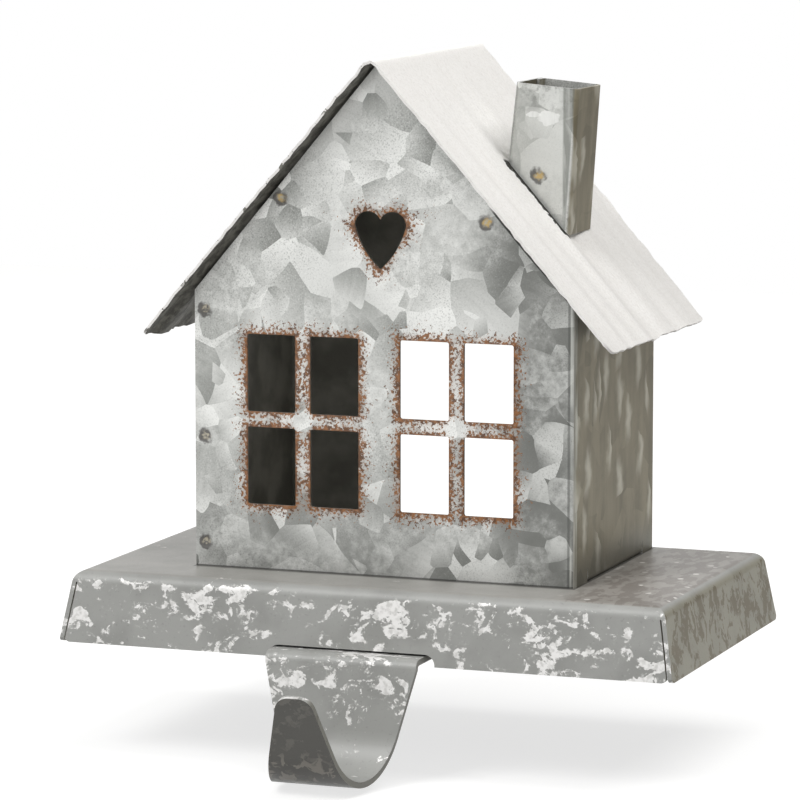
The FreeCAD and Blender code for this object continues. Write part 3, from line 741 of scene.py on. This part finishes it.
chimneyLook = {
    "front": -0.2,
    "frontTone": (0.58, 0.59, 0.56),
    "band": 34.2,               # start of the painted shade beside the fold
    "bandTone": (0.17, 0.178, 0.160),
    "side": 36.5,               # start of the side
    "smudge": (120.5, 130.0),   # from and to, upwards
    "smudgeTone": (0.13, 0.132, 0.120),
    "weld": (28.5, 109.4),
    "blotches": [               # across, up and the half sizes
        (30.9, 122.7, 2.6, 1.6),
        (27.2, 123.6, 1.6, 0.7),
    ],
    "blotchTone": (0.86, 0.865, 0.845),
    "leftTone": (0.30, 0.305, 0.285),
    "paint": (0.88, 0.865, 0.83),
    "roughness": 0.48,
    "metallic": 0.65,
}


def galvanisedChimney(name):
    look = chimneyLook
    f = Finish(name)
    side = look["side"]
    onFront = (f.y - look["front"]).ramp(0.45, 0.30)
    # the chimney's side takes the painted shade of the right side
    base, tone = zincBase(f, f.x.ramp(side, side + 0.5))
    base = f.mix(onFront * f.x.ramp(side, side - 0.5) * 0.45, base, look["frontTone"])
    streaks = f.grain(1.3, detail=4.0, place=f.stretched(1.0, 1.0, 8.0)).ramp(0.34, 0.58)
    # painted shade: a streaked dark band on the front beside the fold
    band = f.x.ramp(look["band"], look["band"] + 0.6) * f.x.ramp(side + 1.2, side + 0.7)
    base = f.mix(band * onFront * (streaks * 0.35 + 0.40), base, look["bandTone"])
    # darker patches towards the top of the front
    smudge = f.grain(3.6, detail=6.0, roughness=0.65).ramp(0.46, 0.62) * f.z.ramp(*look["smudge"])
    base = f.mix(smudge * onFront * 0.65, base, look["smudgeTone"])
    rag = f.grain(1.8, detail=3.0) * 1.5 - 0.75
    for x, z, halfWidth, halfHeight in look["blotches"]:
        dx, dz = (f.x - x) / halfWidth, (f.z - z) / halfHeight
        spot = ((dx * dx + dz * dz) ** 0.5 + rag).ramp(1.08, 0.96)
        base = f.mix(spot * onFront * (streaks * 0.25 + 0.45), base, look["blotchTone"])
    base = weldMark(f, base, *look["weld"], weld["gold"])
    # roof paint that ran up the foot on the right
    run = f.grain(2.6, detail=3.0) * 2.0 - 0.3
    paint = (run - overSlope(f)).ramp(0.0, 0.12) * f.facing((1, 0, 0)).ramp(0.3, 0.6)
    base = f.mix(paint, base, look["paint"])
    # painted shade: the left side is darker and duller, so it throws less lamp light onto the roof
    leftSide = f.facing((-1, 0, 0)).ramp(0.5, 0.9)
    return f.done(
        baseColor=f.mix(leftSide * 0.5, base, look["leftTone"]),
        metallic=(1 - paint) * (1 - leftSide * 0.85) * look["metallic"],
        roughness=tone * -0.12 + look["roughness"] + paint * 0.4 + leftSide * 0.3,
        normal=dimples(f),
        specular=0.5,
    )


def galvanisedPlain(name):
    f = Finish(name)
    base, tone = zincBase(f)
    return f.done(
        baseColor=base,
        metallic=spangle["metallic"],
        roughness=tone * -0.14 + spangle["roughness"],
        normal=dimples(f),
        specular=0.5,
    )


# Grey paint with torn silver leaf

leaf = {
    "paint": (0.348, 0.350, 0.334),
    "paintDark": (0.284, 0.286, 0.271),
    "dirt": (0.20, 0.20, 0.19),
    "leaf": (0.83, 0.82, 0.805),
    "thin": (0.62, 0.612, 0.592),       # where the paint shows through the leaf
    "stain": (0.150, 0.118, 0.070),     # painted shade: the leaf's colour where it faces right
    "warm": (0.94, 0.90, 0.76),         # and what the paint is multiplied by there, also painted shade
    "flake": 4.7,
    "flakeStretch": (1.35, 0.62, 0.95),
    "crumb": 1.6,
    "cluster": 12.0,
    "bar": 0.53,                        # noise above this is leaf
}
baseLook = {
    "top": 17.0,
    "lowEdge": 5.0,             # fewer flakes below this level
    "hookX": -8.0,              # and round here, over the hook
    "topWarm": (0.95, 0.92, 0.90),
    "beside": (42.0, 52.0),     # the brown part of the top begins here
    "brown": (0.24, 0.205, 0.18),
    "brownDark": (0.13, 0.112, 0.098),
    "crumb": (0.80, 0.78, 0.75),
    # the dark joint round the house's foot, partly painted contact shade
    "joint": (0.05, 0.048, 0.042),
}
hookLook = {
    "bareFrom": (-8.0, -13.0),      # fewer flakes below this level
    "cutEdge": (0.19, 0.188, 0.172),
    "tongue": (-64.0, -67.0),       # its outer face begins here
    # painted shade on the tongue's outer face
    "tongueShade": (0.27, 0.262, 0.240),
    "tongueDark": (0.080, 0.077, 0.070),
    "patch": (0.27, 0.25, 0.22),
    "patchFrom": (-13.0, -19.0),    # and its paler patches below this level
}


def leafedPaint(name, bare, shade):
    # bare is a mask where less leaf sticks, and the other function recolours the piece's own places,
    # with its own marks and with painted shade
    f = Finish(name)
    wide = f.stretched(*leaf["flakeStretch"])
    torn = f.grain(leaf["flake"], detail=6.0, roughness=0.58, distortion=0.9, place=wide)
    crumbs = f.grain(leaf["crumb"], detail=4.0, roughness=0.60, distortion=0.7)
    cluster = f.grain(leaf["cluster"], detail=1.0) - 0.5
    level = torn * 0.68 + crumbs * 0.32 + cluster * 0.26 - bare(f) - leaf["bar"]
    flake = level.ramp(0.0, 0.012)
    dust = f.grain(0.9, detail=4.0, roughness=0.7).ramp(0.46, 0.62)
    flake = flake.most(level.ramp(-0.045, 0.0) * dust * 0.45)
    cloudy = f.grain(12.0, detail=4.0).ramp(0.35, 0.7)
    paint = f.mix(cloudy, leaf["paint"], leaf["paintDark"])
    paint = f.mix(f.grain(0.7, detail=3.0).ramp(0.60, 0.75) * 0.35, paint, leaf["dirt"])
    # painted shade: what faces right gets darker, browner paint and leaf, with fewer flakes showing
    turned = f.facing((1, 0, 0)).ramp(0.55, 0.9)
    paint = f.mix(turned, paint, f.vector("MULTIPLY", paint, leaf["warm"]))
    leafTone = f.mix(f.grain(1.2, detail=3.0).ramp(0.32, 0.58), leaf["thin"], leaf["leaf"])
    leafTone = f.mix(turned, leafTone, leaf["stain"])
    fine = f.grain(0.6, detail=2.0)
    return f.done(
        baseColor=shade(f, f.mix(flake * (1 - turned * 0.42), paint, leafTone)),
        metallic=flake * 0.25,
        roughness=fine * 0.14 + 0.34 + flake * 0.08,
        normal=f.bump(fine, 0.010, f.bump(flake, 0.03)),
        specular=0.5,
    )


def bareOnBase(f):
    onTop = f.z.ramp(baseLook["top"] - 2.2, baseLook["top"] - 0.5) * 0.15
    low = f.z.ramp(baseLook["lowEdge"] + 3.0, baseLook["lowEdge"] - 2.5) * 0.022
    overHook = abs(f.x - baseLook["hookX"]).ramp(30.0, 12.0) * f.z.ramp(12.0, 7.0) * 0.05
    corners = abs(f.x).ramp(60.0, 70.0) * 0.02
    return onTop + low + overHook - corners


def marksAndShadeOnBase(f, paint):
    # brown leaf and white crumbs on top at the right, and the dark joint round the house's foot,
    # partly painted contact shade
    onTop = f.z.ramp(baseLook["top"] - 0.4, baseLook["top"] - 0.1)
    beside = onTop * f.x.ramp(*baseLook["beside"])
    patches = f.grain(3.2, detail=4.0, place=f.stretched(0.7, 1.6, 1.0)).ramp(0.47, 0.53)
    paint = f.mix(onTop, paint, f.vector("MULTIPLY", paint, baseLook["topWarm"]))
    paint = f.mix(beside * 0.35, paint, baseLook["brown"])
    paint = f.mix(beside * patches * 0.5, paint, baseLook["brownDark"])
    paint = f.mix(f.dots(1.5, 0.05) * beside * 0.8, paint, baseLook["crumb"])
    outX = abs(f.x - house["centre"]) - house["width"] / 2
    outY = abs(f.y - (house["front"] + house["back"]) / 2) - (house["back"] - house["front"]) / 2
    joint = (outX * 4).most(outY).ramp(1.8, 1.1) * onTop
    return f.mix(joint * 0.75, paint, baseLook["joint"])


def bareOnHook(f):
    return f.z.ramp(*hookLook["bareFrom"]) * 0.045 + 0.008


def marksAndShadeOnHook(f, paint):
    # the strap's cut edge is a darker grey
    edge = f.facing((1, 0, 0)).ramp(0.5, 0.85)
    paint = f.mix(edge * 0.8, paint, hookLook["cutEdge"])
    # painted shade: the tongue's outer face, which looks down at the dark below, is darkened, with
    # paler patches low down
    outer = f.y.ramp(*hookLook["tongue"]) * f.facing((0, -1, 0)).ramp(0.25, 0.6)
    dark = f.mix(0.65, f.vector("MULTIPLY", paint, hookLook["tongueShade"]), hookLook["tongueDark"])
    low = f.z.ramp(*hookLook["patchFrom"])
    patches = f.grain(2.8, detail=3.0, distortion=0.6).ramp(0.53, 0.58) * low
    return f.mix(outer, paint, f.mix(patches * 0.8, dark, hookLook["patch"]))


# Sanded roof paint, with bare sheet below

roofLook = {
    "paint": (0.945, 0.928, 0.903),
    # darker paint for the sand and mottle, and for the painted shade in the grooves
    "shade": (0.78, 0.76, 0.725),
    "bare": (0.095, 0.091, 0.079),
    "bareLight": (0.205, 0.198, 0.174),
    # painted shadow in the slit under the chimney's front foot
    "seam": (0.050, 0.048, 0.042),
    # painted shade at the chimney's left foot
    "grime": (0.45, 0.45, 0.40),
    "sand": 0.65,
    "lump": 2.4,
    "groove": (3.2, 14.0),      # painted shade along the ripples: size, and times longer down the slope
    "chimney": (20.7, 35.5),    # across from and to, at the foot
    "chimneyFront": -0.2,
    "grimeY": 6.0,
    "slitWidth": 1.7,
    "slitBack": 3.0,            # how far it runs back under the foot
}


def atChimney(f, paint, lumps):
    # painted shadow in the slit in front of the chimney's foot, and painted shade at its left foot
    look = roofLook
    left, right = look["chimney"]
    ahead = look["chimneyFront"] - f.y
    width = f.grain(1.5, detail=4.0) * 4.0 - 2.0 + look["slitWidth"]
    slit = (width - ahead).ramp(0.0, 0.12) * (ahead + look["slitBack"]).ramp(0.0, 0.2)
    slit = slit * f.x.ramp(left - 0.6, left) * f.x.ramp(right + 0.4, right)
    grime = abs(f.x - left + 1.0).ramp(2.6, 0.6) * abs(f.y - look["grimeY"]).ramp(9.0, 4.0)
    paint = f.mix(grime * lumps.ramp(0.35, 0.65) * 0.5, paint, look["grime"])
    return f.mix(slit, paint, look["seam"])


def sandedPaint(name):
    look = roofLook
    f = Finish(name)
    ridgeX = roofSheet["ridge"][0]
    # the underside is bare; the eave rims face away from the ridge, and are painted
    outward = f.facing((1, 0, 0)) * (f.x - ridgeX) / 50
    under = f.facing((0, 0, 1)).ramp(-0.15, -0.30) * outward.ramp(0.30, 0.10)
    sand = f.grain(look["sand"], detail=4.0, roughness=0.75, place=f.slanted)
    lumps = f.grain(look["lump"], detail=3.0, roughness=0.6)
    # painted shade in grooves along the ripples; the clouds and sand are the paint's own mottle
    size, stretch = look["groove"]
    groove = f.grain(size, detail=2.0, place=f.stretched(stretch, 1.0, stretch)).ramp(0.56, 0.74)
    cloud = f.grain(9.0, detail=5.0).ramp(0.50, 0.80)
    paint = f.mix((cloud * 0.18).most(groove * 0.18), look["paint"], look["shade"])
    paint = f.mix(sand.ramp(0.54, 0.36) * 0.45, paint, look["shade"])
    paint = atChimney(f, paint, lumps)
    # the left slope's front edge is bare too, where the paint broke off
    leftRim = f.facing((0, -1, 0)).ramp(0.5, 0.8) * f.x.ramp(ridgeX + 1, ridgeX - 1)
    broken = f.grain(3.5, detail=6.0, roughness=0.72).ramp(0.57, 0.60)
    bare = f.mix(f.grain(2.2, detail=4.0).ramp(0.38, 0.62), look["bare"], look["bareLight"])
    bareMask = under.most(leftRim * broken)
    return f.done(
        baseColor=f.mix(bareMask, paint, bare),
        metallic=bareMask * 0.4,
        roughness=0.92 - bareMask * 0.35,
        normal=f.bump(sand * 0.6 + lumps * 0.8, 0.20),
        specular=0.3,
    )


# Rubber, iron and screws

rubberLook = {
    "light": (0.045, 0.045, 0.045),
    "dark": (0.02, 0.02, 0.02),
    "lump": 0.8,
    "metallic": 0.0,
    "roughness": 0.75,
    "depth": 0.08,
}
ironLook = {
    "light": (0.13, 0.13, 0.125),
    "dark": (0.07, 0.07, 0.07),
    "lump": 1.6,
    "metallic": 0.3,
    "roughness": 0.55,
    "depth": 0.15,
}
screwLook = {
    "light": (0.66, 0.67, 0.69),
    "dark": (0.50, 0.51, 0.53),
    "lump": 0.9,
    "metallic": 0.95,
    "roughness": 0.28,
    "depth": 0.01,
}


def plainStuff(name, look):
    f = Finish(name)
    lumps = f.grain(look["lump"], detail=4.0, roughness=0.6)
    return f.done(
        baseColor=f.mix(lumps.ramp(0.35, 0.65), look["dark"], look["light"]),
        metallic=look["metallic"],
        roughness=lumps * 0.2 + look["roughness"],
        normal=f.bump(lumps, look["depth"]),
    )


plainSheet = galvanisedPlain("galvanisedPlain")
roofCoat = sandedPaint("sandedWhite")
screwZinc = plainStuff("zincScrews", screwLook)
finishes = {
    "house_walls": galvanisedWalls("galvanisedWalls"),
    "chimney": galvanisedChimney("galvanisedChimney"),
    "base_pan": leafedPaint("leafedBase", bareOnBase, marksAndShadeOnBase),
    "hook": leafedPaint("leafedHook", bareOnHook, marksAndShadeOnHook),
    "roof": roofCoat,
    "base_pad": plainStuff("padRubber", rubberLook),
    "base_weight": plainStuff("castIron", ironLook),
    "house_screws": screwZinc,
    "hook_screws": screwZinc,
}
for name, node in nodes.items():
    node.data.materials.clear()
    node.data.materials.append(finishes.get(name, plainSheet))      # the clips stay plain sheet
roof.data.materials.clear()
roof.data.materials.append(roofCoat)
print("finishes ready")
